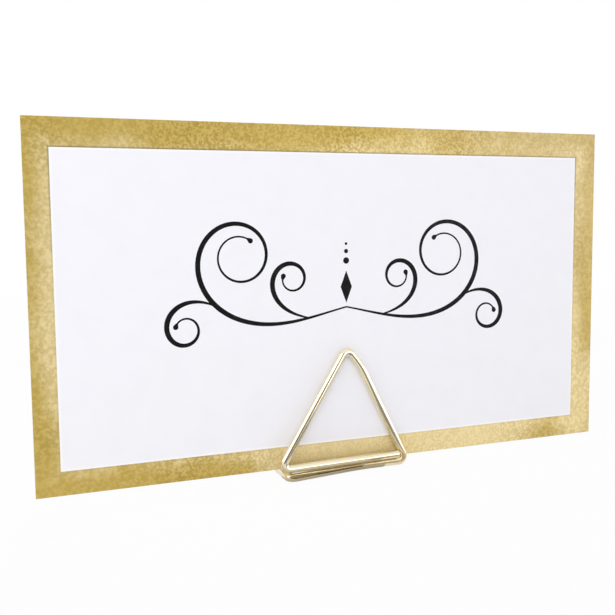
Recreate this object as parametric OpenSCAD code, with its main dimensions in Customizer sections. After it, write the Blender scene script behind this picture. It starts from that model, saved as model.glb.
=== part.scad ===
// Place card holder: one length of round wire bent into a front and a rear triangle, with a
// card standing on edge between them. The card has a foil border and an inked flourish.
// X runs along the card, Y from front to back, Z up from the table. The origin is on the
// table, in the middle plane of the card, half way along it.

/* [Card] */
// Length of the card
card_w = 90; // [70:1:120]
// Height of the card
card_h = 50; // [40:1:70]
// Thickness of the card stock
card_t = 0.35; // [0.25:0.05:0.6]

/* [Foil border] */
// Width of the border where it is printed true
border_w = 3.6; // [2:0.1:6]
// How far the printed window stands left of the card's middle
window_left = 0.3; // [0:0.05:0.6]
// How far the printed window stands below the card's middle
window_down = 0.3; // [0:0.05:0.6]
// Thickness of the foil
foil_t = 0.03; // [0.02:0.01:0.04]

/* [Wire] */
// Diameter of the wire
wire_d = 1.2; // [0.9:0.1:1.5]
// Centre-line radius of the two lower corners
corner_r = 0.8; // [0.76:0.02:1.2]
// Centre-line radius of the tip
tip_r = 0.95; // [0.8:0.05:1.3]
// Centre-line radius of the soft bends in the right leg and the ground bar
soft_r = 14; // [8:1:16]

/* [Triangle] */
// Distance from the middle to the sharp left corner
left_reach = 11.65; // [10.5:0.05:14]
// Distance from the middle to the sharp right corner
right_reach = 9.5; // [9:0.05:12]
// Height of the sharp tip above the table
tip_h = 18.7; // [17:0.1:24]
// Distance of the tip to the left of the middle
tip_left = 0.3; // [0:0.1:0.6]

/* [Stance] */
// Distance of the left foot in front of the card's middle plane
left_foot = 2.95; // [2.6:0.05:4]
// Clearance between the right foot and the face of the card
right_foot_gap = 0.275; // [0.2:0.025:0.6]
// Distance from the middle to the wire that crosses under the card
bridge_reach = 10.25; // [9:0.05:11]
// How far the inner bar stands behind the ground bar at its left end
bar_left_step = 0.25; // [0:0.05:0.5]
// How far the inner bar stands in front of the ground bar at its cut end
bar_end_step = 0.5; // [0.3:0.05:0.7]

/* [Fit] */
// Clearance between the tip and the foil as the card slides past
slide_gap = 0.02; // [0.02:0.01:0.08]
// Clearance between the crossing wire and the edge of the card
seat_gap = 0.05; // [0.02:0.01:0.1]
// Clearance between the inner bar and the ground bar
turn_gap = 0.07; // [0.05:0.01:0.1]
// Clearance between the cut end and the bend beside it
end_gap = 0.4; // [0.35:0.05:0.8]

/* [Ink] */
// Thickest part of an ink stroke
ink_thick = 0.78; // [0.5:0.02:1]
// Thinnest part of an ink stroke
ink_thin = 0.26; // [0.2:0.02:0.4]
// Length of the large scroll on each side
scroll_len = 61; // [50:1:64]
// Length of the inner curl on each side
inner_curl_len = 22; // [16:1:24]
// Length of the outer curl on each side
outer_curl_len = 21; // [15:1:23]
// How far the large scrolls meet below the middle of the flourish
meet_down = 3; // [2:0.5:5]
// Height of the lozenge in the middle
lozenge_h = 4.8; // [3:0.2:6]
// Radius of the drop that ends each curl
drop_r = 0.4; // [0.3:0.05:0.6]
// Height of the flourish above the middle of the card
flourish_up = 1.5; // [-1:0.5:4]
// Thickness of the dried ink
ink_t = 0.02; // [0.01:0.01:0.02]

/* [Hidden] */
$fn = 48;

wire_r = wire_d / 2;
card_foot = wire_d + seat_gap;
card_mid = card_foot + card_h / 2;
face_y = card_t / 2;
touch_y = face_y + foil_t + slide_gap + wire_r;
right_foot = face_y + right_foot_gap + wire_r;
bar_z = wire_r + wire_d + turn_gap;
end_reach = right_reach - wire_d - end_gap;

// A bead hardly wider than the wire bridges the hair gap between each straight and its bend.
// Its poles are turned away from the wire, so that they stay inside it.
bead_swell = 0.002;
bead_gap = 0.015;
bead_tilt_angle = 30;

// Places on the right leg, as shares of the way from the tip down to the right corner
shoulder_x_share = 0.24;
shoulder_z_share = 0.165;
knee_x_share = 0.447;
knee_z_share = 0.4;
// Place of the soft bend in the ground bar, as a share of the reach of the right corner
kink_x_share = 0.18;
// Radii of the two lower soft bends, as shares of the radius of the shoulder
knee_r_share = 3;
kink_r_share = 2;

tip_point = [-tip_left, -touch_y, tip_h];
right_point = [right_reach, -right_foot, wire_r];
shoulder_point = leg_point(shoulder_x_share, shoulder_z_share);
knee_point = leg_point(knee_x_share, knee_z_share);

front_route = [
    [end_reach, -right_foot - bar_end_step, bar_z],
    [-left_reach, -left_foot + bar_left_step, bar_z],
    tip_point,
    shoulder_point,
    knee_point,
    right_point,
    [right_reach * kink_x_share, -right_foot, wire_r],
    [-bridge_reach, -left_foot, wire_r],
    [-bridge_reach, 0, wire_r]
];
front_radii = [
    corner_r, tip_r, soft_r, soft_r * knee_r_share, corner_r, soft_r * kink_r_share, corner_r
];

// Ink strokes: first heading, and how fast each one bends at its start and at its end
scroll_start_angle = -12;
scroll_bend_angles = [-60, 1240];
inner_bend_angles = [60, 860];
outer_bend_angles = [-120, -800];
// Where each curl leaves the scroll, as a share of its length, and the angle it leaves at
inner_share = 0.1;
inner_aside_angle = 24;
outer_share = 0.34;
outer_aside_angle = -16;
// Share of a stroke's length at which it is thickest, and the steps that draw it
thick_share = 0.4;
pen_steps = 56;

// Shares of the lozenge's height: its half width, and each pearl's height and radius
lozenge_half_share = 0.19;
pearl_shares = [[0.81, 0.1], [1.1, 0.068], [1.33, 0.045]];

function leg_point(x_share, z_share) = [
    tip_point.x + (right_point.x - tip_point.x) * x_share,
    tip_point.y + (right_point.y - tip_point.y) * z_share,
    tip_point.z + (right_point.z - tip_point.z) * z_share
];

function unit(v) = v / norm(v);

// Interior angle at b on the way from a to c
function corner_angle(a, b, c) = acos(unit(a - b) * unit(c - b));

// Where the straight wire ends and the bend of radius r at b begins, on the side of a
function tangent_point(a, b, c, r) = b + unit(a - b) * r / tan(corner_angle(a, b, c) / 2);

// Centre of the bend of radius r at b
function bend_centre(a, b, c, r) =
    b + unit(unit(a - b) + unit(c - b)) * r / sin(corner_angle(a, b, c) / 2);

// Puts the local X axis along x_dir and the local Z axis along z_dir, at place
module frame_at(place, x_dir, z_dir) {
    y_dir = cross(z_dir, x_dir);
    multmatrix([
        [x_dir.x, y_dir.x, z_dir.x, place.x],
        [x_dir.y, y_dir.y, z_dir.y, place.y],
        [x_dir.z, y_dir.z, z_dir.z, place.z],
        [0, 0, 0, 1]
    ]) children();
}

// Puts the local Z axis on the line from one place to another, starting at the first
module aim(from, to) {
    z_dir = unit(to - from);
    side = abs(z_dir.z) < 0.5 ? [0, 0, 1] : [0, 1, 0];
    frame_at(from, unit(cross(side, z_dir)), z_dir) children();
}

module straight_wire(from, to) {
    aim(from, to) cylinder(d = wire_d, h = norm(to - from));
}

module bead(place, ahead) {
    aim(place, ahead) rotate([bead_tilt_angle, 0, 0]) sphere(r = wire_r + bead_swell);
}

module wire_bend(a, b, c, r) {
    centre = bend_centre(a, b, c, r);
    first = unit(tangent_point(a, b, c, r) - centre);
    last = unit(tangent_point(c, b, a, r) - centre);
    frame_at(centre, first, unit(cross(first, last)))
        rotate_extrude(angle = 180 - corner_angle(a, b, c))
            translate([r, 0]) circle(d = wire_d);
}

// Straight wires and bends along a route, with the bend radii of its inner points
module wire_run(route, radii) {
    last = len(route) - 1;
    bend_starts = [
        for (i = [1:last - 1]) tangent_point(route[i - 1], route[i], route[i + 1], radii[i - 1])
    ];
    bend_ends = [
        for (i = [1:last - 1]) tangent_point(route[i + 1], route[i], route[i - 1], radii[i - 1])
    ];
    for (i = [0:last - 1]) {
        way = unit(route[i + 1] - route[i]);
        straight_wire(
            i == 0 ? route[0] : bend_ends[i - 1] + way * bead_gap,
            i == last - 1 ? route[last] : bend_starts[i] - way * bead_gap
        );
    }
    for (i = [1:last - 1]) {
        wire_bend(route[i - 1], route[i], route[i + 1], radii[i - 1]);
        bead(bend_starts[i - 1], route[i]);
        bead(bend_ends[i - 1], route[i + 1]);
    }
}

module wire_holder() {
    color("#d9c48e") {
        wire_run(front_route, front_radii);
        mirror([0, 1, 0]) wire_run(front_route, front_radii);
    }
}

module card() {
    color("#f3f3f7")
        translate([-card_w / 2, -card_t / 2, card_foot])
            cube([card_w, card_t, card_h]);
}

// Stands what lies flat on the front face of the card, with its thickness towards the front
module on_face() {
    translate([0, -face_y, card_mid])
        rotate([90, 0, 0]) children();
}

module foil_border() {
    color("#cfb573")
        on_face() linear_extrude(height = foil_t)
            difference() {
                square([card_w, card_h], center = true);
                translate([-window_left, -window_down])
                    square([card_w - 2 * border_w, card_h - 2 * border_w], center = true);
            }
}

// A stroke is a list of its start, length, first heading, and first and last bend
function start_of(stroke) = stroke[0];
function length_of(stroke) = stroke[1];

// Heading of a stroke at the share t of its length, while its bend grows steadily
function heading(stroke, t) =
    stroke[2] + stroke[3][0] * t + (stroke[3][1] - stroke[3][0]) * t * t / 2;

// Points along a stroke, up to the share end_share of its length
function pen_path(stroke, end_share = 1) = [
    for (
        i = 0, p = start_of(stroke);
        i <= pen_steps;
        a = heading(stroke, (i + 0.5) / pen_steps * end_share),
        p = p + length_of(stroke) * end_share / pen_steps * [cos(a), sin(a)],
        i = i + 1
    ) p
];

// A stroke that leaves another one at the share t, turned from its heading by the angle aside
function branch(stroke, t, length, aside, bends) =
    [pen_path(stroke, t)[pen_steps], length, heading(stroke, t) + aside, bends];

// Half the width of a stroke at the share t of its length
function half_width(t) =
    (ink_thin + (ink_thick - ink_thin) * pow(sin(180 * pow(t, ln(0.5) / ln(thick_share))), 2)) / 2;

scroll_stroke = [[0, -meet_down], scroll_len, scroll_start_angle, scroll_bend_angles];
inner_stroke = branch(scroll_stroke, inner_share, inner_curl_len, inner_aside_angle, inner_bend_angles);
outer_stroke = branch(scroll_stroke, outer_share, outer_curl_len, outer_aside_angle, outer_bend_angles);

module pen_stroke(stroke) {
    path = pen_path(stroke);
    sides = [
        for (i = [0:pen_steps])
            let (a = heading(stroke, i / pen_steps))
                half_width(i / pen_steps) * [-sin(a), cos(a)]
    ];
    linear_extrude(height = ink_t)
        polygon(concat(
            [for (i = [0:pen_steps]) path[i] + sides[i]],
            [for (i = [pen_steps:-1:0]) path[i] - sides[i]]
        ));
    translate(path[pen_steps]) cylinder(r = drop_r, h = ink_t);
}

module half_flourish() {
    for (stroke = [scroll_stroke, inner_stroke, outer_stroke]) pen_stroke(stroke);
}

module centre_ornament() {
    linear_extrude(height = ink_t)
        polygon([
            [0, lozenge_h / 2],
            [lozenge_h * lozenge_half_share, 0],
            [0, -lozenge_h / 2],
            [-lozenge_h * lozenge_half_share, 0]
        ]);
    for (pearl = pearl_shares)
        translate([0, lozenge_h * pearl[0]]) cylinder(r = lozenge_h * pearl[1], h = ink_t);
}

module ink_flourish() {
    color("#1d1c1e")
        translate([0, 0, flourish_up])
            on_face() {
                half_flourish();
                mirror([1, 0, 0]) half_flourish();
                centre_ornament();
            }
}

wire_holder();
card();
foil_border();
ink_flourish();
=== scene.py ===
"""A place card in a holder bent from one length of gold-coloured wire.

X runs along the card, Y from front to back and Z up from the table. Lengths are metres.
"""

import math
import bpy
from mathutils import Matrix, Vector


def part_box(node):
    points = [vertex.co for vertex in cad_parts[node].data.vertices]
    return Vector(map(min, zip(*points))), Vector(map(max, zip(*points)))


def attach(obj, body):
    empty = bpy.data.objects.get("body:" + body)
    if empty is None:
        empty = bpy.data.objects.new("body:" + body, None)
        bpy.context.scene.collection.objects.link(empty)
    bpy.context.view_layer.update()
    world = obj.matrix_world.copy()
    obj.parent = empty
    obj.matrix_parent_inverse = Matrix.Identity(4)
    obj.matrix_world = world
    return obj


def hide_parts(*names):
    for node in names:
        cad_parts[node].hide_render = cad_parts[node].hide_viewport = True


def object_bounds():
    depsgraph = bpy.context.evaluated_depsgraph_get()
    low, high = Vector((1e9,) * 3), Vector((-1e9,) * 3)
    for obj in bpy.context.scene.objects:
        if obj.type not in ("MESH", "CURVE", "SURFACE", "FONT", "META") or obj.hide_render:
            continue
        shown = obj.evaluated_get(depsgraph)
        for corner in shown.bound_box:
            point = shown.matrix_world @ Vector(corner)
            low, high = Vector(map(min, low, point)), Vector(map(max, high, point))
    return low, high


bl_info = {
    "name": "Place Card and Wire Holder",
    "version": (1, 0, 0),
    "blender": (4, 5, 0),
    "location": "3D View > Sidebar > Place Card",
    "description": "Bends the wire holder, cuts and foils the card and inks its flourish",
    "category": "Object",
}

import bpy
from bpy.props import FloatProperty, FloatVectorProperty, IntProperty, PointerProperty
from bpy.types import Operator, Panel, PropertyGroup
from mathutils import Matrix, Vector

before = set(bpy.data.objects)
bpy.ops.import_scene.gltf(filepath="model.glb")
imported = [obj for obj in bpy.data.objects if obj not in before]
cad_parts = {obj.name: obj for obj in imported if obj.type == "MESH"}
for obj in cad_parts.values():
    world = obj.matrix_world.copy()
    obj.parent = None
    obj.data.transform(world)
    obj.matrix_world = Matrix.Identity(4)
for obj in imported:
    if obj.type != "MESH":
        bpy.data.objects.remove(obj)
cad_box = [list(corner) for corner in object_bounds()]
card_box = [Vector(corner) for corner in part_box("card")]
foil_box = [Vector(corner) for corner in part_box("foil_border")]
ink_box = [Vector(corner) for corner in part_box("ink_flourish")]
foil_middle = (foil_box[0] + foil_box[1]) / 2

MM = 0.001
# Points closer than this are one point.
SAME_POINT = 1e-7
# The wire's halves are welded within this distance, and its rings may lie this far off.
TOLERANCE = 1e-6
# A face looks one way where its normal has more than this share of that way.
FACING_SHARE = 0.5
# Segments of a rounded edge.
EDGE_SEGMENTS = 3
# A quarter turn about X stands up what was made lying flat.
UPRIGHT = (math.pi / 2, 0, 0)


def length(name, description, default):
    """A length that the sidebar shows in the scene's unit; the default is in millimetres."""
    return FloatProperty(
        name=name,
        description=description,
        default=default * MM,
        min=0,
        precision=5,
        subtype="DISTANCE",
        unit="LENGTH",
    )


def colour(name, description, default):
    """A colour that the sidebar shows as a swatch."""
    return FloatVectorProperty(
        name=name, description=description, default=default, size=3, min=0, max=1, subtype="COLOR"
    )


def share(name, description, default):
    """A share from 0 to 1 that the sidebar shows as a slider."""
    return FloatProperty(
        name=name, description=description, default=default, min=0, max=1, subtype="FACTOR"
    )


def power(name, description, default):
    """The power of a lamp, in watts."""
    return FloatProperty(name=name, description=description, default=default, min=0, subtype="POWER")


class PLACECARD_PG_wire(PropertyGroup):
    """Sizes and finish of the bent wire."""

    diameter: length("Wire diameter", "Diameter of the wire", 1.199)
    corner_radius: length("Corner radius", "Centre-line radius of the two lower corners", 0.8)
    tip_radius: length("Tip radius", "Centre-line radius of the tip", 0.95)
    soft_radius: length("Soft bend radius", "Centre-line radius of the bend in the shoulder", 14)
    left_reach: length("Left reach", "Middle of the card to the sharp left corner", 11.65)
    right_reach: length("Right reach", "Middle of the card to the sharp right corner", 9.5)
    tip_height: length("Tip height", "Height of the sharp tip above the table", 18.7)
    tip_left: length("Tip to the left", "Distance of the tip to the left of the middle", 0.3)
    tip_out: length("Tip in front", "Distance of the tip in front of the card's middle plane", 0.825)
    left_foot: length("Left foot", "Distance of the left foot in front of the middle plane", 2.95)
    right_foot: length("Right foot", "Distance of the right foot in front of the middle plane", 1.05)
    bridge_reach: length("Bridge reach", "Middle of the card to the wire that crosses under it", 10.25)
    bar_height: length("Inner bar height", "Height of the inner bar's centre-line", 1.87)
    bar_end: length("Inner bar end", "Middle of the card to the cut end of the inner bar", 7.9)
    bar_left_step: length("Bar step, left", "How far the inner bar stands back at its left end", 0.25)
    bar_end_step: length("Bar step, end", "How far the inner bar stands forward at its cut end", 0.5)
    sides: IntProperty(name="Sides", description="Faces around the wire", default=48, min=12)
    colour: colour("Wire colour", "Colour of the plated wire", (0.91, 0.82, 0.59))
    warm_colour: colour("Warm tint", "Colour where the plating is a little redder", (0.86, 0.74, 0.49))
    roughness: share("Wire roughness", "Roughness of the polished wire", 0.13)


class PLACECARD_PG_card(PropertyGroup):
    """Sizes and finish of the card and its foil."""

    edge_round: length("Edge rounding", "Rounding that the guillotine leaves on the edges", 0.045)
    border: length("Foil width", "Width of the foil border where it is printed true", 3.6)
    window_left: length("Window left", "How far the window stands left of the card's middle", 0.3)
    window_down: length("Window down", "How far the window stands below the card's middle", 0.3)
    paper: colour("Paper", "Colour of the card stock", (0.872, 0.864, 0.904))
    core: colour("Paper core", "Colour of the cut edges", (0.84, 0.80, 0.74))
    foil: colour("Foil", "Colour of the foil where it is densest", (0.615, 0.447, 0.119))
    # The light foil colour also shows where painted light pales the foil.
    foil_light: colour("Foil light", "Colour of the foil where it is thinnest", (0.855, 0.697, 0.369))
    foil_dark: colour("Foil dark", "Colour of the foil's dark grains", (0.405, 0.276, 0.037))


class PLACECARD_PG_ink(PropertyGroup):
    """Sizes and finish of the inked flourish."""

    thick: length("Thick stroke", "Thickest part of a stroke", 0.78)
    thin: length("Thin stroke", "Thinnest part of a stroke", 0.26)
    scroll: length("Scroll length", "Length of the large scroll on each side", 61)
    inner_curl: length("Inner curl length", "Length of the inner curl on each side", 22)
    outer_curl: length("Outer curl length", "Length of the outer curl on each side", 21)
    meet_down: length("Meeting point", "How far the scrolls meet below the flourish's middle", 3)
    lozenge: length("Lozenge height", "Height of the lozenge in the middle", 4.8)
    drop: length("Drop radius", "Radius of the drop that ends each stroke", 0.4)
    flourish_up: length("Flourish up", "Height of the flourish above the card's middle", 1.5)
    colour: colour("Ink", "Colour of the dried ink", (0.003, 0.003, 0.0033))


class PLACECARD_PG_stage(PropertyGroup):
    """Floor, lights and camera."""

    floor: colour("Floor", "Colour of the floor", (0.88, 0.88, 0.88))
    ambient: FloatProperty(
        name="Ambient light", description="Strength of the even light all round", default=0.62, min=0
    )
    left_panel: power("Left softbox", "Power of the softbox on the left", 4.8)
    right_panel: power("Right softbox", "Power of the softbox on the right", 0.50)
    front_panel: power("Front softbox", "Power of the softbox near the camera", 23)
    back_panel: power("Back softbox", "Power of the softbox behind the card", 4.5)
    lens: FloatProperty(
        name="Focal length",
        description="Focal length on a 36 mm wide film",
        default=49.151,
        min=1,
        subtype="DISTANCE_CAMERA",
    )


# Modelling


def fresh_piece(name):
    """Names the active piece and puts its place into its mesh."""
    piece = bpy.context.object
    piece.name = name
    piece.data.name = name
    bpy.ops.object.transform_apply(location=True, rotation=True, scale=True)
    return piece


def clear_selection():
    """Leaves edit mode and deselects everything."""
    if bpy.context.object and bpy.context.object.mode != "OBJECT":
        bpy.ops.object.mode_set(mode="OBJECT")
    bpy.ops.object.select_all(action="DESELECT")


def edit_all():
    """Enters edit mode with the whole of the active piece selected."""
    bpy.ops.object.mode_set(mode="EDIT")
    bpy.ops.mesh.select_all(action="SELECT")


def select_only(kind, find):
    """Enters edit mode with only those points or faces selected that find() gives."""
    bpy.ops.object.mode_set(mode="EDIT")
    bpy.ops.mesh.select_mode(type=kind)
    bpy.ops.mesh.select_all(action="DESELECT")
    bpy.ops.object.mode_set(mode="OBJECT")
    for element in find():
        element.select = True
    bpy.ops.object.mode_set(mode="EDIT")


def front_faces(piece):
    """The faces of a piece that look to the front."""
    return [face for face in piece.data.polygons if face.normal.y < -FACING_SHARE]


def apply_modifier(piece, kind, **settings):
    """Adds a modifier with its settings to a piece and applies it."""
    modifier = piece.modifiers.new(kind.title(), kind)
    for name, value in settings.items():
        setattr(modifier, name, value)
    bpy.context.view_layer.objects.active = piece
    bpy.ops.object.modifier_apply(modifier=modifier.name)


def turn_outwards():
    """Merges the doubles of the active piece and turns its faces outwards."""
    edit_all()
    bpy.ops.mesh.remove_doubles(threshold=SAME_POINT)
    bpy.ops.mesh.normals_make_consistent(inside=False)
    bpy.ops.object.mode_set(mode="OBJECT")


def smooth(piece, angle):
    """Shades a piece smooth, apart from edges sharper than the angle in degrees."""
    clear_selection()
    piece.select_set(True)
    bpy.context.view_layer.objects.active = piece
    bpy.ops.object.shade_smooth_by_angle(angle=math.radians(angle))


def join(parts, name):
    """Joins parts into the first of them."""
    clear_selection()
    for part in parts:
        part.select_set(True)
    bpy.context.view_layer.objects.active = parts[0]
    bpy.ops.object.join()
    return fresh_piece(name)


def finish_piece(piece, body, slot, *nodes):
    """Says which body a piece rides on and the nodes that it stands for; its material slot is not used.
    """
    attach(piece, body)
    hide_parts(*nodes)


# Materials


class Signal:
    """One output in a material's nodes. Sums and products of signals add their Math nodes."""

    def __init__(self, finish, socket):
        self.finish = finish
        self.socket = socket

    def maths(self, operation, first, second=0.0):
        """Adds a Math node."""
        return self.finish.node("ShaderNodeMath", {"operation": operation}, {0: first, 1: second})

    def __add__(self, other):
        return self.maths("ADD", self, other)

    def __sub__(self, other):
        return self.maths("SUBTRACT", self, other)

    def __mul__(self, other):
        return self.maths("MULTIPLY", self, other)

    def __rsub__(self, other):
        return self.maths("SUBTRACT", other, self)

    def __pow__(self, other):
        return self.maths("POWER", self, other)

    def __neg__(self):
        return self.maths("SUBTRACT", 0, self)

    def __abs__(self):
        return self.maths("ABSOLUTE", self)

    __radd__ = __add__
    __rmul__ = __mul__

    def most(self, other):
        """The larger of two signals."""
        return self.maths("MAXIMUM", self, other)


class Finish:
    """One material, or the tree of the world, built node by node."""

    def __init__(self, name, tree=None):
        if tree is None:
            self.material = bpy.data.materials.new(name)
            self.material.use_nodes = True
            tree = self.material.node_tree
        self.tree = tree
        self.tree.nodes.clear()

    def node(self, kind, settings=None, sockets=None, output=0):
        """Adds a node, sets it up, then gives its sockets their values or links."""
        node = self.tree.nodes.new(kind)
        for name, value in (settings or {}).items():
            setattr(node, name, value)
        for name, value in (sockets or {}).items():
            if isinstance(value, Signal):
                self.tree.links.new(value.socket, node.inputs[name])
            elif node.inputs[name].type == "RGBA":
                node.inputs[name].default_value = (*value, 1)
            else:
                node.inputs[name].default_value = value
        return Signal(self, node.outputs[output]) if node.outputs else None

    def place(self):
        """Position on the piece, in metres."""
        return self.node("ShaderNodeTexCoord", output="Object")

    def axes(self, vector):
        """The X, Y and Z of a vector."""
        return [self.node("ShaderNodeSeparateXYZ", None, {0: vector}, output=i) for i in range(3)]

    def stretched(self, vector, scale, shift=(0, 0, 0)):
        """A vector scaled, then shifted, along each axis."""
        sockets = {"Vector": vector, "Scale": scale, "Location": shift}
        return self.node("ShaderNodeMapping", {"vector_type": "POINT"}, sockets)

    def noise(self, vector, size, detail=3.0, roughness=0.55):
        """Noise from 0 to 1 with features of about the given size in metres."""
        return self.node(
            "ShaderNodeTexNoise",
            {"noise_dimensions": "3D"},
            {"Vector": vector, "Scale": 1 / size, "Detail": detail, "Roughness": roughness},
        )

    def rise(self, signal, low, high):
        """0 below low, 1 above high and smooth between them."""
        return self.node(
            "ShaderNodeMapRange",
            {"interpolation_type": "SMOOTHSTEP"},
            {"Value": signal, "From Min": low, "From Max": high, "To Min": 0.0, "To Max": 1.0},
        )

    def blend(self, factor, first, second):
        """A colour between two colours."""
        sockets = {0: factor, 6: first, 7: second}
        return self.node("ShaderNodeMix", {"data_type": "RGBA"}, sockets, output=2)

    def bump(self, height, distance, strength):
        """A normal that follows a height signal; distance is how far 1 stands out, in metres."""
        sockets = {"Height": height, "Distance": distance, "Strength": strength}
        return self.node("ShaderNodeBump", None, sockets)

    def surface(self, **sockets):
        """Ends the material in a Principled BSDF; underscores stand for spaces."""
        named = {name.replace("_", " "): value for name, value in sockets.items()}
        shader = self.node("ShaderNodeBsdfPrincipled", None, named)
        self.node("ShaderNodeOutputMaterial", None, {"Surface": shader})
        return self.material


def toned(tone, factor):
    """A colour made darker or lighter by a factor."""
    return tuple(factor * value for value in tone)


# The wire's UV map holds metres along it, and the share of a turn round it.
WIRE_MAP = "Along the wire"


def plated_wire(wire):
    """Lacquered gold plating: fine die lines along the wire, a faint haze and redder patches."""
    finish = Finish("Plated wire")
    run = finish.node("ShaderNodeUVMap", {"uv_map": WIRE_MAP})
    lines = finish.noise(finish.stretched(run, (0.02, 0.06, 1)), size=0.4 * MM, detail=4)
    place = finish.place()
    haze = finish.noise(place, size=2.2 * MM, detail=4)
    patches = finish.noise(place, size=6 * MM, detail=2)
    redder = finish.rise(patches, 0.42, 0.72)
    return finish.surface(
        Base_Color=finish.blend(redder, wire.colour, wire.warm_colour),
        Metallic=1.0,
        Roughness=wire.roughness + 0.10 * (haze - 0.5) + 0.05 * (lines - 0.5),
        Coat_Weight=1.0,
        Coat_Roughness=0.06,
        Normal=finish.bump(lines, distance=0.003 * MM, strength=0.5),
    )


def past_window(finish, card, place):
    """Distance past the edge of the foil's window; it is negative inside the window."""
    x, _, z = finish.axes(place)
    half = (foil_box[1] - foil_box[0]) / 2
    across = abs(x - (foil_middle.x - card.window_left)) - (half.x - card.border)
    along = abs(z - (foil_middle.z - card.window_down)) - (half.z - card.border)
    return across.most(along)


def card_stock(card):
    """Smooth white stock with a faint fibre, hardly darker clouds and a painted highlight along the
    foil's window edge.
    """
    finish = Finish("Card stock")
    place = finish.place()
    _, y, _ = finish.axes(place)
    fibre = finish.noise(finish.stretched(place, (1, 1, 0.55)), size=0.28 * MM, detail=5, roughness=0.65)
    clouds = finish.rise(finish.noise(place, size=4 * MM), 0.35, 0.75)
    shade = toned(card.paper, 0.985)
    on_front = finish.rise(-y, 0, 0.1 * MM)
    # A lighter rim on the paper, just inside the foil's window, is a painted highlight.
    rim = (1 - finish.rise(-past_window(finish, card, place), 0.1 * MM, 0.4 * MM)) * on_front
    highlight_paper = (0.93, 0.93, 0.95)
    return finish.surface(
        Base_Color=finish.blend(rim, finish.blend(clouds, card.paper, shade), highlight_paper),
        Roughness=0.62 + 0.12 * fibre,
        Specular_IOR_Level=0.35,
        Normal=finish.bump(fibre, distance=0.008 * MM, strength=0.35),
    )


def cut_edge(card):
    """The cut edge of the stock, with its layers running round the card."""
    finish = Finish("Cut edge")
    layers = finish.noise(finish.stretched(finish.place(), (0.05, 1, 0.05)), size=0.05 * MM)
    return finish.surface(
        Base_Color=finish.blend(finish.rise(layers, 0.4, 0.7), card.core, toned(card.core, 0.86)),
        Roughness=0.85,
        Specular_IOR_Level=0.25,
        Normal=finish.bump(layers, distance=0.01 * MM, strength=0.5),
    )


# Patches where the foil is paler (above 0) or denser (below 0): how far right of and above the
# foil's middle, how far each reaches, all in mm, and how much it changes.
FOIL_PATCHES_AND_SHADE = [
    (-43, 0, 19, 0.26),
    (-24, -24, 24, -0.14),
    # This dense patch at the right end is painted shade that tones down the sheen there.
    (43, 3, 18, -0.22),
    (44, -19, 9, 0.20),
    (-20, 24, 14, -0.10),
    (-7, 24, 12, -0.14),
    (8, 24, 14, 0.06),
    (37, 24, 12, 0.08),
    (19, -23, 13, 0.12),
    (33, -23, 9, -0.24),
]
# A patch is even over this share of its reach, and fades out over the rest.
PATCH_CORE_SHARE = 0.2


def foil_drift(finish, x, above, across_band):
    """How much paler the foil is: to the right and downward as painted light where its sheen falls,
    toward the window, and in patches.
    """
    right_half = finish.rise(x, 0, 20 * MM) * (1 - finish.rise(x, 36 * MM, 42 * MM))
    # The paling to the right and downward is painted light, where the foil's sheen falls.
    drift = x * (2.2 - 50 * above) - 2 * above - (0.30 - 0.20 * right_half) * across_band
    for right, up, reach, amount in FOIL_PATCHES_AND_SHADE:
        across, along = x - right * MM, above - up * MM
        apart = (across * across + along * along) ** 0.5
        fade = finish.rise(apart, PATCH_CORE_SHARE * reach * MM, reach * MM)
        drift = drift + amount * (1 - fade)
    return drift


def foil_grains(finish, x, place, grain, mottle):
    """0 in a dark grain and 1 between grains, which get coarser and softer toward the card's ends."""
    coarse_grain = finish.noise(place, size=0.55 * MM, detail=1)
    ends = finish.rise(abs(x), 20 * MM, 42 * MM)
    sand = grain + 0.6 * ends * (coarse_grain - grain)
    sharp = finish.rise(0.12 * mottle + 0.88 * sand, 0.38, 0.63)
    return sharp + (0.5 - sharp) * (0.05 + 0.25 * ends)


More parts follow.
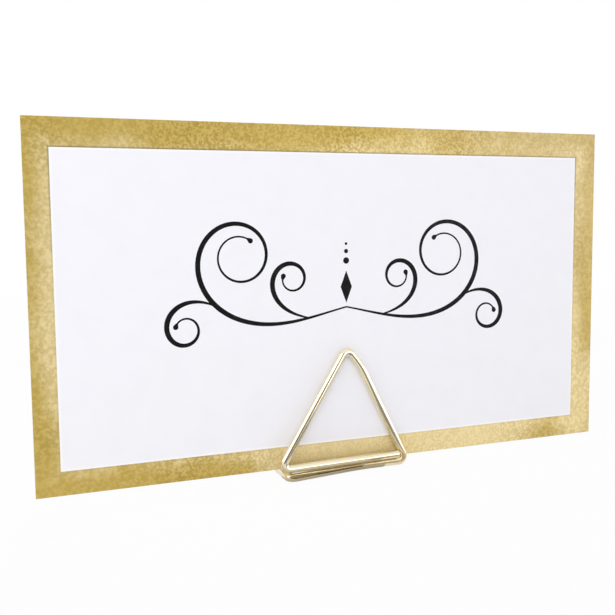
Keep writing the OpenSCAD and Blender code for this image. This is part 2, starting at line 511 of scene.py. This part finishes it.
def grained_foil(card):
    """Gold foil on a grained ground: clouds, pale and dense patches and dark grains, with painted light
    and painted shade for its sheen, the holder's shadow and the window's edge.
    """
    finish = Finish("Grained foil")
    place = finish.place()
    x, _, z = finish.axes(place)
    above = z - foil_middle.z
    into_foil = past_window(finish, card, place)
    mottle = finish.noise(place, size=1.6 * MM, detail=4, roughness=0.6)
    grain = finish.noise(place, size=0.34 * MM, detail=1.5, roughness=0.5)
    sparkle = finish.noise(place, size=0.11 * MM, detail=2)

    # The foil is thin in clouds, and painted lighter low down round the holder and to its right, as
    # painted light that offsets the holder's shadow there.
    clouds = 0.2 + 0.6 * finish.noise(place, size=10 * MM, detail=2, roughness=0.5)
    drift = foil_drift(finish, x, above, finish.rise(into_foil, 0, card.border) - 0.5)
    low_down = finish.rise(-above, 5 * MM, 20 * MM)
    painted_lift = low_down * (1 - finish.rise(abs(x - 8 * MM), 14 * MM, 30 * MM))
    # thin also holds painted light: the paling to the right and downward, and the lift round the holder.
    thin = finish.rise(clouds + drift + 0.62 * painted_lift + 0.25 * (mottle - 0.5), 0.32, 0.76)
    clouded = finish.blend(thin, card.foil, card.foil_light)

    # Grains show most in rough areas, and least where the foil is thin or painted lighter round the
    # holder.
    shifted = finish.stretched(place, (1, 1, 1), shift=(20 * MM, 0, 10 * MM))
    rough_areas = finish.rise(finish.noise(shifted, size=16 * MM, detail=1), 0.45, 0.6)
    grains = 1 - foil_grains(finish, x, place, grain, mottle)
    shown = grains * (0.64 + 0.28 * rough_areas) * (1 - 0.32 * thin) * (1 - 0.55 * painted_lift)
    grained = finish.blend(shown, clouded, card.foil_dark)

    # The upper right is darkened as painted shade that tones down the sheen there, and the window's edge
    # is darkened as painted shade that shows most at the top.
    upper_right_shade_gold = (0.50, 0.42, 0.31)
    edge_shade_gold = (0.20, 0.15, 0.09)
    upper_right_shade = 0.22 * finish.rise(x, 5 * MM, 35 * MM) * finish.rise(above, -20 * MM, 15 * MM)
    upper = finish.rise(z, foil_middle.z, foil_box[1].z)
    edge_shade = (1 - finish.rise(into_foil, 0.06 * MM, 0.3 * MM)) * (0.15 + 0.5 * upper)
    return finish.surface(
        Base_Color=finish.blend(edge_shade, finish.blend(upper_right_shade, grained, upper_right_shade_gold), edge_shade_gold),
        Metallic=0.3,
        Roughness=0.42 + 0.2 * mottle,
        Normal=finish.bump(0.6 * grain + 0.4 * sparkle, distance=0.02 * MM, strength=0.5),
    )


def dried_ink(ink):
    """Black ink, a little paler and glossier where it pooled."""
    finish = Finish("Dried ink")
    place = finish.place()
    pools = finish.noise(place, size=1.1 * MM)
    tooth = finish.noise(place, size=0.16 * MM)
    pale = tuple(0.007 + value for value in ink.colour)
    return finish.surface(
        Base_Color=finish.blend(finish.rise(pools, 0.45, 0.75), ink.colour, pale),
        Roughness=0.62 - 0.22 * finish.rise(pools, 0.3, 0.7),
        Specular_IOR_Level=0.15,
        Normal=finish.bump(tooth, distance=0.006 * MM, strength=0.4),
    )


# The wire


# Shares of the right leg's way, across and down, at which its two soft bends stand.
SHOULDER_SHARES = [(0.24, 0.165), (0.447, 0.4)]
# Share of the right reach at which the ground bar turns toward the left foot.
GROUND_BEND_SHARE = 0.18
# A bend is drawn in steps of about this many degrees.
DEGREES_A_STEP = 4
# Even a slight bend has this many steps.
FEWEST_STEPS = 6
# Rounding at the rim of the cut end.
CUT_ROUND = 0.09 * MM


def wire_route(wire):
    """Corner points of the front half, from the cut end of the inner bar to the bridge's middle."""
    radius = wire.diameter / 2
    tip = Vector((-wire.tip_left, -wire.tip_out, wire.tip_height))
    right = Vector((wire.right_reach, -wire.right_foot, radius))
    leg = right - tip
    shoulder = [
        tip + Vector((leg.x * across, leg.y * down, leg.z * down)) for across, down in SHOULDER_SHARES
    ]
    points = [
        Vector((wire.bar_end, -wire.right_foot - wire.bar_end_step, wire.bar_height)),
        Vector((-wire.left_reach, -wire.left_foot + wire.bar_left_step, wire.bar_height)),
        tip,
        *shoulder,
        right,
        Vector((wire.right_reach * GROUND_BEND_SHARE, -wire.right_foot, radius)),
        Vector((-wire.bridge_reach, -wire.left_foot, radius)),
        Vector((-wire.bridge_reach, 0, radius)),
    ]
    corner, soft = wire.corner_radius, wire.soft_radius
    lower_shoulder, ground_bend = 3 * soft, 2 * soft
    return points, [corner, wire.tip_radius, soft, lower_shoulder, corner, ground_bend, corner]


def bend_of(before, corner, after, radius):
    """Start, end, centre, axis and angle of the bend at a corner."""
    back, ahead = (before - corner).normalized(), (after - corner).normalized()
    inside = back.angle(ahead)
    reach = radius / math.tan(inside / 2)
    centre = corner + (back + ahead).normalized() * radius / math.sin(inside / 2)
    start, end = corner + back * reach, corner + ahead * reach
    axis = (start - centre).cross(end - centre).normalized()
    return start, end, centre, axis, math.pi - inside


def bend_wire(wire):
    """Draws the front half of the wire out of one ring, and returns it with its stations.

    A station is the middle of a ring and the wire's heading there.
    """
    points, radii = wire_route(wire)
    heading = (points[1] - points[0]).normalized()
    clear_selection()
    bpy.ops.mesh.primitive_circle_add(
        vertices=wire.sides,
        radius=wire.diameter / 2,
        fill_type="NOTHING",
        location=points[0],
        rotation=heading.to_track_quat("Z", "Y").to_euler(),
    )
    piece = fresh_piece("bent_wire")
    edit_all()
    stations = [(points[0], heading)]
    here = points[0]
    for i, radius in enumerate(radii, start=1):
        start, end, centre, axis, angle = bend_of(points[i - 1], points[i], points[i + 1], radius)
        bpy.ops.mesh.extrude_region_move(TRANSFORM_OT_translate={"value": start - here})
        stations.append((start, heading))
        steps = max(FEWEST_STEPS, round(math.degrees(angle) / DEGREES_A_STEP))
        bpy.ops.mesh.spin(steps=steps, angle=-angle, center=centre, axis=axis)
        for step in range(1, steps + 1):
            turn = Matrix.Rotation(angle * step / steps, 3, axis)
            stations.append((centre + turn @ (start - centre), turn @ heading))
        here, heading = end, (points[i + 1] - points[i]).normalized()
    bpy.ops.mesh.extrude_region_move(TRANSFORM_OT_translate={"value": points[-1] - here})
    stations.append((points[-1], heading))
    bpy.ops.object.mode_set(mode="OBJECT")
    return piece, stations


def check_rings(piece, stations, sides):
    """Makes sure that each ring lies round its own station."""
    points = piece.data.vertices
    if len(points) != sides * len(stations):
        raise RuntimeError(f"the wire has {len(points)} points for {len(stations)} stations")
    for i, (centre, _) in enumerate(stations):
        ring = sum((points[i * sides + j].co for j in range(sides)), Vector()) / sides
        off = (ring - centre).length
        if off > TOLERANCE:
            raise RuntimeError(f"ring {i} lies {off / MM:.4f} mm off its station")


def close_cut_end(piece, sides):
    """Closes the first ring with a flat face and takes the burr off its rim."""
    select_only("VERT", lambda: piece.data.vertices[:sides])
    bpy.ops.mesh.edge_face_add()
    bpy.ops.mesh.bevel(offset=CUT_ROUND, segments=EDGE_SEGMENTS, affect="EDGES")
    bpy.ops.object.mode_set(mode="OBJECT")


def measure_along(piece, stations):
    """Gives the wire its UV map: metres along it, and share of a turn round it."""
    runs, travelled = [], 0.0
    side = stations[0][1].orthogonal().normalized()
    for i, (centre, heading) in enumerate(stations):
        if i:
            travelled += (centre - stations[i - 1][0]).length
            side = (side - heading * side.dot(heading)).normalized()
        runs.append((centre, heading, travelled, side.copy(), heading.cross(side)))
    places = []
    for vertex in piece.data.vertices:
        # A point of the rear half is measured at its mirror image in front.
        spot = Vector((vertex.co.x, -abs(vertex.co.y), vertex.co.z))
        nearest = min(runs, key=lambda station: (station[0] - spot).length_squared)
        centre, heading, run, across, over = nearest
        offset = spot - centre
        turn = math.atan2(offset.dot(over), offset.dot(across)) / math.tau
        places.append((run + offset.dot(heading), turn))
    layer = piece.data.uv_layers.new(name=WIRE_MAP)
    for face in piece.data.polygons:
        # A face that seems to span over half a turn lies across the map's seam.
        turns = [places[i][1] for i in face.vertices]
        crosses_seam = max(turns) - min(turns) > 0.5
        for loop in face.loop_indices:
            run, turn = places[piece.data.loops[loop].vertex_index]
            layer.data[loop].uv = (run, turn + 1 if crosses_seam and turn < 0 else turn)


class PLACECARD_OT_wire(Operator):
    """Bend the wire holder from one length of wire"""

    bl_idname = "placecard.wire"
    bl_label = "Bend the Wire"

    def execute(self, context):
        wire = context.scene.placecard_wire
        piece, stations = bend_wire(wire)
        check_rings(piece, stations, wire.sides)
        close_cut_end(piece, wire.sides)
        apply_modifier(piece, "MIRROR", use_axis=(False, True, False), merge_threshold=TOLERANCE)
        turn_outwards()
        measure_along(piece, stations)
        smooth(piece, angle=35)
        piece.data.materials.append(plated_wire(wire))
        finish_piece(piece, "holder", "wire", "wire_holder")
        return {"FINISHED"}


# The card and its foil


# Share of the foil's thickness over which its rim slopes.
RIM_SHARE = 0.8


class PLACECARD_OT_card(Operator):
    """Cut the card from white stock"""

    bl_idname = "placecard.card"
    bl_label = "Cut the Card"

    def execute(self, context):
        card = context.scene.placecard_card
        low, high = card_box
        clear_selection()
        bpy.ops.mesh.primitive_cube_add(size=1, location=(low + high) / 2, scale=high - low)
        piece = fresh_piece("card_sheet")
        edit_all()
        bpy.ops.mesh.bevel(offset=card.edge_round, segments=EDGE_SEGMENTS, affect="EDGES")
        bpy.ops.object.mode_set(mode="OBJECT")
        piece.data.materials.append(card_stock(card))
        piece.data.materials.append(cut_edge(card))
        for face in piece.data.polygons:
            broad = abs(face.normal.y) > FACING_SHARE
            face.material_index = 0 if broad else 1
        smooth(piece, angle=50)
        finish_piece(piece, "card", "card_stock", "card")
        return {"FINISHED"}


class PLACECARD_OT_foil(Operator):
    """Stamp the foil border on the card"""

    bl_idname = "placecard.foil"
    bl_label = "Stamp the Foil"

    def execute(self, context):
        card = context.scene.placecard_card
        low, high = foil_box
        size = high - low
        clear_selection()
        bpy.ops.mesh.primitive_plane_add(size=1, location=(0, 0, 0), rotation=UPRIGHT)
        piece = fresh_piece("foil_frame")
        edit_all()
        bpy.ops.transform.resize(value=(size.x, 1, size.z))
        bpy.ops.transform.translate(value=(foil_middle.x, high.y, foil_middle.z))
        bpy.ops.mesh.inset(thickness=card.border)
        bpy.ops.transform.translate(value=(-card.window_left, 0, -card.window_down))
        bpy.ops.mesh.delete(type="FACE")
        bpy.ops.mesh.select_all(action="SELECT")
        bpy.ops.mesh.extrude_region_move(TRANSFORM_OT_translate={"value": (0, -size.y, 0)})
        bpy.ops.object.mode_set(mode="OBJECT")
        turn_outwards()
        select_only("FACE", lambda: front_faces(piece))
        bpy.ops.mesh.region_to_loop()
        bpy.ops.mesh.bevel(offset=RIM_SHARE * size.y, segments=EDGE_SEGMENTS, affect="EDGES")
        bpy.ops.object.mode_set(mode="OBJECT")
        smooth(piece, angle=40)
        piece.data.materials.append(grained_foil(card))
        finish_piece(piece, "card", "foil", "foil_border")
        return {"FINISHED"}


# The flourish


# Headings are in degrees, and bends in degrees over a whole stroke, at its start and at its end.
SCROLL_HEADING = -12
SCROLL_BENDS = (-60, 1240)
# Each curl leaves the scroll at a share of it, turned aside by an angle.
INNER_SHARE, INNER_ASIDE, INNER_BENDS = 0.1, 24, (60, 860)
OUTER_SHARE, OUTER_ASIDE, OUTER_BENDS = 0.34, -16, (-120, -800)
# The pen presses hardest at this share of a stroke.
THICKEST_SHARE = 0.4
# Length of a stroke between two rings of its mesh, and the number of rings round its drop.
PEN_STEP = 0.28 * MM
DROP_RINGS = 8
# Radius of a drop's last ring, as a share of the drop's.
LAST_RING_SHARE = 0.02
# The lozenge's width as a share of its height, and the rounding of its edges as a share of the drop.
LOZENGE_WIDTH_SHARE = 0.38
LOZENGE_ROUND_SHARE = 0.18
# Height above the flourish's middle and radius of each pearl, as shares of the lozenge's height.
PEARL_SHARES = [(0.81, 0.1), (1.1, 0.068), (1.33, 0.045)]


class Stroke:
    """A pen stroke whose bend grows steadily along it; angles are in degrees."""

    # Steps from one point to the next, and points on the way to where a curl leaves.
    SUBSTEPS = 8
    BRANCH_STEPS = 30

    def __init__(self, start, run, heading, bends):
        self.start, self.run, self.first, self.bends = start, run, heading, bends

    def heading(self, along):
        """The pen's heading at a share of the stroke."""
        return self.first + self.bends[0] * along + (self.bends[1] - self.bends[0]) * along * along / 2

    def points(self, shares):
        """Points at growing shares of the stroke."""
        place, last, found = Vector(self.start), 0.0, []
        for along in shares:
            step = (along - last) / self.SUBSTEPS
            for i in range(self.SUBSTEPS):
                angle = math.radians(self.heading(last + step * (i + 0.5)))
                place = place + Vector((math.cos(angle), math.sin(angle))) * self.run * step
            last = along
            found.append(place)
        return found

    def branch(self, along, run, aside, bends):
        """A stroke that leaves this one at a share of it."""
        steps = range(1, self.BRANCH_STEPS + 1)
        start = self.points([along * i / self.BRANCH_STEPS for i in steps])[-1]
        return Stroke(start, run, self.heading(along) + aside, bends)


class PLACECARD_OT_flourish(Operator):
    """Ink the flourish on the card"""

    bl_idname = "placecard.flourish"
    bl_label = "Ink the Flourish"

    def half_width(self, ink, along):
        """Half the width of a stroke at a share of it."""
        pressed = along ** (math.log(0.5) / math.log(THICKEST_SHARE))
        swell = math.sin(math.pi * pressed) ** 2
        return (ink.thin + (ink.thick - ink.thin) * swell) / 2

    def pen_path(self, ink, stroke):
        """Points along a stroke and round the drop that ends it, with the pen's radius at each."""
        count = round(stroke.run / PEN_STEP)
        shares = [i / count for i in range(count + 1)]
        places = stroke.points(shares)
        radii = [self.half_width(ink, along) for along in shares]
        angle = math.radians(stroke.heading(1))
        onward = Vector((math.cos(angle), math.sin(angle)))
        for i, along in enumerate(shares):
            remaining = (1 - along) * stroke.run
            if remaining < ink.drop:
                radii[i] = max(radii[i], math.sqrt(ink.drop**2 - remaining**2))
        for i in range(1, DROP_RINGS + 1):
            beyond = ink.drop * math.sin(i / DROP_RINGS * math.pi / 2)
            places.append(places[count] + onward * beyond)
            radii.append(max(math.sqrt(max(ink.drop**2 - beyond**2, 0)), LAST_RING_SHARE * ink.drop))
        return places, radii

    def ink_stroke(self, ink, stroke):
        """Makes one stroke as a tube whose radius follows the pen."""
        places, radii = self.pen_path(ink, stroke)
        clear_selection()
        bpy.ops.curve.primitive_bezier_curve_add(location=(0, 0, 0))
        path = bpy.context.object
        path.data.splines.clear()
        spline = path.data.splines.new("POLY")
        spline.points.add(len(places) - 1)
        for point, place, radius in zip(spline.points, places, radii):
            point.co = (place.x, 0, place.y, 1)
            point.radius = radius / MM
        path.data.dimensions = "3D"
        path.data.bevel_depth = MM
        path.data.bevel_resolution = 3
        path.data.use_fill_caps = True
        bpy.ops.object.convert(target="MESH")
        return bpy.context.object

    def pearl(self, radius, up):
        """One pearl over the lozenge, still a whole ball."""
        clear_selection()
        bpy.ops.mesh.primitive_uv_sphere_add(
            segments=40, ring_count=20, radius=radius, location=(0, 0, up), rotation=UPRIGHT
        )
        return bpy.context.object

    def lozenge(self, ink):
        """The lozenge in the middle, before it is flattened against the card."""
        clear_selection()
        bpy.ops.mesh.primitive_cylinder_add(
            vertices=4, radius=0.5, depth=1, location=(0, 0, 0), rotation=UPRIGHT
        )
        gem = fresh_piece("lozenge")
        edit_all()
        bpy.ops.transform.resize(value=(ink.lozenge * LOZENGE_WIDTH_SHARE, ink.drop, ink.lozenge))
        rounding = ink.drop * LOZENGE_ROUND_SHARE
        bpy.ops.mesh.bevel(offset=rounding, segments=EDGE_SEGMENTS, affect="EDGES")
        bpy.ops.object.mode_set(mode="OBJECT")
        return gem

    def execute(self, context):
        ink = context.scene.placecard_ink
        scroll = Stroke((0, -ink.meet_down), ink.scroll, SCROLL_HEADING, SCROLL_BENDS)
        strokes = [
            scroll,
            scroll.branch(INNER_SHARE, ink.inner_curl, INNER_ASIDE, INNER_BENDS),
            scroll.branch(OUTER_SHARE, ink.outer_curl, OUTER_ASIDE, OUTER_BENDS),
        ]
        half = join([self.ink_stroke(ink, stroke) for stroke in strokes], "ink_half")
        apply_modifier(half, "MIRROR", use_axis=(True, False, False), use_mirror_merge=False)
        gem = self.lozenge(ink)
        pearls = [self.pearl(ink.lozenge * radius, ink.lozenge * up) for up, radius in PEARL_SHARES]
        piece = join([half, gem, *pearls], "ink_strokes")
        turn_outwards()
        back, front = ink_box[1].y, ink_box[0].y
        card_middle = (card_box[0].z + card_box[1].z) / 2
        edit_all()
        bpy.ops.transform.resize(value=(1, (back - front) / (ink.thick / 2), 1))
        bpy.ops.transform.translate(value=(0, back, card_middle + ink.flourish_up))
        bpy.ops.object.mode_set(mode="OBJECT")
        smooth(piece, angle=60)
        piece.data.materials.append(dried_ink(ink))
        finish_piece(piece, "card", "ink", "ink_flourish")
        return {"FINISHED"}


# Stage


# How white the floor shows near the object, directly and by way of a reflection. Far off it is white.
FLOOR_WHITE_SHARE = 0.94
MIRRORED_WHITE_SHARE = 0.6
# The floor turns all white between these distances from the middle, in metres.
FADE_START = 0.12
FADE_END = 0.6
# Side of the floor, in metres.
FLOOR_SIZE = 6
# How far the floor lies below the object.
FLOOR_GAP = 0.01 * MM
# Tint of the even light all round.
DAYLIGHT = (0.97, 0.98, 1.0)

# Most lamps face this point, about as high as the holder's tip.
FACED = (0, 0, 0.02)
# Name, power property, size, place and point faced in metres, and kinds of ray that don't see it.
SOFTBOXES = [
    ("left softbox", "left_panel", (2.2, 0.58), (-0.96, -0.41, 0.70), FACED, []),
    ("right softbox", "right_panel", (0.72, 0.09), (0.36, -0.22, 0.045), (0, 0, 0.045), ["diffuse"]),
    ("front softbox", "front_panel", (1.5, 1.5), (-0.95, -2.30, 0.90), FACED, ["glossy"]),
    ("back softbox", "back_panel", (1.2, 0.5), (0.50, 1.20, 0.60), FACED, []),
]

# Where the camera stands in metres, and how it is turned in degrees.
CAMERA_PLACE = (-0.050312, -0.114048, 0.037507)
CAMERA_TURN = (84.62517, 0.58769, -21.2313)
# How far the picture is shifted, as a share of the film's width, which is in millimetres.
SHIFT_SHARE = -0.012087
FILM_WIDTH = 36
# The camera sees nothing nearer than this.
NEAREST_SEEN = 5 * MM


def rays(finish):
    """1 for a ray that comes straight from the camera, and 1 for one by way of metal or glass."""
    camera, glossy, clear = [
        finish.node("ShaderNodeLightPath", output=f"Is {kind} Ray")
        for kind in ("Camera", "Glossy", "Transmission")
    ]
    return camera, glossy.most(clear)


def stage_floor(stage):
    """A white floor that keeps the object's shadow."""
    finish = Finish("Floor")
    x, y, _ = finish.axes(finish.place())
    far = finish.rise((x * x + y * y) ** 0.5, FADE_START, FADE_END)
    direct, mirrored = rays(finish)
    seen = direct * (FLOOR_WHITE_SHARE + (1 - FLOOR_WHITE_SHARE) * far)
    reflected = mirrored * (MIRRORED_WHITE_SHARE + (1 - MIRRORED_WHITE_SHARE) * far)
    lit = finish.node("ShaderNodeBsdfDiffuse", None, {"Color": stage.floor})
    white = finish.node("ShaderNodeEmission", None, {"Color": (1, 1, 1), "Strength": 1.0})
    shader = finish.node("ShaderNodeMixShader", None, {0: seen + reflected, 1: lit, 2: white})
    finish.node("ShaderNodeOutputMaterial", None, {"Surface": shader})
    return finish.material


def cloth(tone):
    """Woven cloth, a little lighter where its threads catch the light."""
    finish = Finish("Cloth")
    weave = finish.noise(finish.place(), size=2 * MM)
    return finish.surface(Base_Color=finish.blend(weave, tone, toned(tone, 1.4)), Roughness=0.9)


def hide_from(thing, *kinds):
    """Keeps a lamp or a flag unseen by some kinds of ray."""
    for kind in kinds:
        setattr(thing, f"visible_{kind}", False)


def softbox(name, watts, size, place, faced, unseen_by):
    """A rectangular area lamp that the camera doesn't see."""
    clear_selection()
    bpy.ops.object.light_add(type="AREA", location=place)
    lamp = bpy.context.object
    lamp.name = name
    lamp.data.shape = "RECTANGLE"
    lamp.data.size, lamp.data.size_y = size
    lamp.data.energy = watts
    lamp.rotation_euler = (Vector(faced) - Vector(place)).to_track_quat("-Z", "Y").to_euler()
    hide_from(lamp, "camera", *unseen_by)


def standing(left, right, top):
    """Corners of a flag that stands on the table, from one point to another, up to a height."""
    return [(*left, 0), (*right, 0), (*left, top), (*right, top)]


def lying(height, *corners):
    """Corners of a flag that lies level at a height."""
    return [(*corner, height) for corner in corners]


# The flags are grey or tan cloths that only reflections see. Their places are in millimetres.
# A row of strips stands in front of the holder, and a ledge lies between them and the card.
# The strips and the ledges are painted shade: they stand where the floor by the holder lies in shade,
# and their tan tones stand in for reflected gold.
STRIP_ENDS = [(-12.5, -4.7), (-5, -4.07), (3, -3.4), (11.2, -2.7)]
STRIP_TOP = 1.4
LEDGE = [(-12.5, -3.4), (3, -2.45), (-12.5, -4.7), (3, -3.4)]
# The ledge's top lies this far over it.
TOP_GAP = 0.02
# Name, colour and corners of each flag.
# Each flag puts painted shade or a painted dark reflection into the wire and the foil.
FLAGS = [
    ("standing flag", (0.20, 0.20, 0.20), standing((-245, -300), (52, -300), 200)),
    ("lying flag", (0.25, 0.25, 0.25), lying(0.005, (-2.5, -8), (12, -8), (-28, -300), (120, -300))),
    ("side flag", (0.50, 0.50, 0.50), lying(0.004, (12, -8), (45, -8), (28, -50), (120, -50))),
    ("foot flag", (0.58, 0.56, 0.52), lying(-0.002, (-30, -6.5), (8, -6.5), (-30, 0), (5, 0))),
    ("left strip", (0.32, 0.27, 0.16), standing(STRIP_ENDS[0], STRIP_ENDS[1], STRIP_TOP)),
    ("middle strip", (0.13, 0.10, 0.05), standing(STRIP_ENDS[1], STRIP_ENDS[2], STRIP_TOP)),
    ("right strip", (0.68, 0.64, 0.56), standing(STRIP_ENDS[2], STRIP_ENDS[3], STRIP_TOP)),
    ("ledge", (0.44, 0.37, 0.24), lying(STRIP_TOP, *LEDGE)),
    ("ledge top", (0.64, 0.62, 0.57), lying(STRIP_TOP + TOP_GAP, *LEDGE)),
]


def flag(name, tone, corners):
    """A cloth that only reflections see, as a studio flag is."""
    clear_selection()
    bpy.ops.mesh.primitive_plane_add(size=1)
    panel = fresh_piece(name)
    for vertex, corner in zip(panel.data.vertices, corners):
        vertex.co = Vector(corner) * MM
    panel.data.materials.append(cloth(tone))
    hide_from(panel, "camera", "diffuse", "shadow", "transmission", "volume_scatter")


def lay_floor(stage):
    clear_selection()
    bpy.ops.mesh.primitive_plane_add(size=FLOOR_SIZE, location=(0, 0, cad_box[0][2] - FLOOR_GAP))
    floor = fresh_piece("floor")
    floor.data.materials.append(stage_floor(stage))


def light_all_round(scene, stage):
    """Even light on the object; the camera and reflections see plain white instead."""
    world = bpy.data.worlds.new("Studio")
    world.use_nodes = True
    scene.world = world
    studio = Finish("Studio", world.node_tree)
    direct, mirrored = rays(studio)
    even = studio.node("ShaderNodeBackground", None, {"Color": DAYLIGHT, "Strength": stage.ambient})
    white = studio.node("ShaderNodeBackground", None, {"Color": (1, 1, 1), "Strength": 1.0})
    shader = studio.node("ShaderNodeMixShader", None, {0: direct + mirrored, 1: even, 2: white})
    studio.node("ShaderNodeOutputWorld", None, {"Surface": shader})


def set_camera(scene, stage):
    turn = [math.radians(angle) for angle in CAMERA_TURN]
    bpy.ops.object.camera_add(location=CAMERA_PLACE, rotation=turn)
    camera = bpy.context.object
    camera.data.lens = stage.lens
    camera.data.sensor_width = FILM_WIDTH
    camera.data.shift_y = SHIFT_SHARE
    camera.data.clip_start = NEAREST_SEEN
    scene.camera = camera


class PLACECARD_OT_stage(Operator):
    """Set up the floor, the lights and the camera"""

    bl_idname = "placecard.stage"
    bl_label = "Set the Stage"

    def execute(self, context):
        stage = context.scene.placecard_stage
        lay_floor(stage)
        for name, panel, size, place, faced, unseen_by in SOFTBOXES:
            softbox(name, getattr(stage, panel), size, place, faced, unseen_by)
        for name, tone, corners in FLAGS:
            flag(name, tone, corners)
        light_all_round(context.scene, stage)
        set_camera(context.scene, stage)
        context.scene.view_settings.view_transform = "Standard"
        return {"FINISHED"}


class PLACECARD_PT_sidebar(Panel):
    """Sizes, finishes and steps of the place card"""

    bl_idname = "PLACECARD_PT_sidebar"
    bl_label = "Place Card"
    bl_space_type = "VIEW_3D"
    bl_region_type = "UI"
    bl_category = "Place Card"

    def draw(self, context):
        for group, steps in PANEL_ROWS:
            box = self.layout.box()
            settings = getattr(context.scene, group)
            for name in settings.__annotations__:
                box.prop(settings, name)
            for step in steps:
                box.operator(step.bl_idname)


PANEL_ROWS = [
    ("placecard_wire", [PLACECARD_OT_wire]),
    ("placecard_card", [PLACECARD_OT_card, PLACECARD_OT_foil]),
    ("placecard_ink", [PLACECARD_OT_flourish]),
    ("placecard_stage", [PLACECARD_OT_stage]),
]
GROUPS = {
    "placecard_wire": PLACECARD_PG_wire,
    "placecard_card": PLACECARD_PG_card,
    "placecard_ink": PLACECARD_PG_ink,
    "placecard_stage": PLACECARD_PG_stage,
}
CLASSES = [
    *GROUPS.values(),
    *(step for _, steps in PANEL_ROWS for step in steps),
    PLACECARD_PT_sidebar,
]


def register():
    for cls in CLASSES:
        bpy.utils.register_class(cls)
    for name, group in GROUPS.items():
        setattr(bpy.types.Scene, name, PointerProperty(type=group))


def unregister():
    for name in GROUPS:
        delattr(bpy.types.Scene, name)
    for cls in reversed(CLASSES):
        bpy.utils.unregister_class(cls)


def main():
    register()
    bpy.ops.placecard.stage()
    bpy.ops.placecard.wire()
    bpy.ops.placecard.card()
    bpy.ops.placecard.foil()
    bpy.ops.placecard.flourish()


if __name__ == "__main__":
    main()
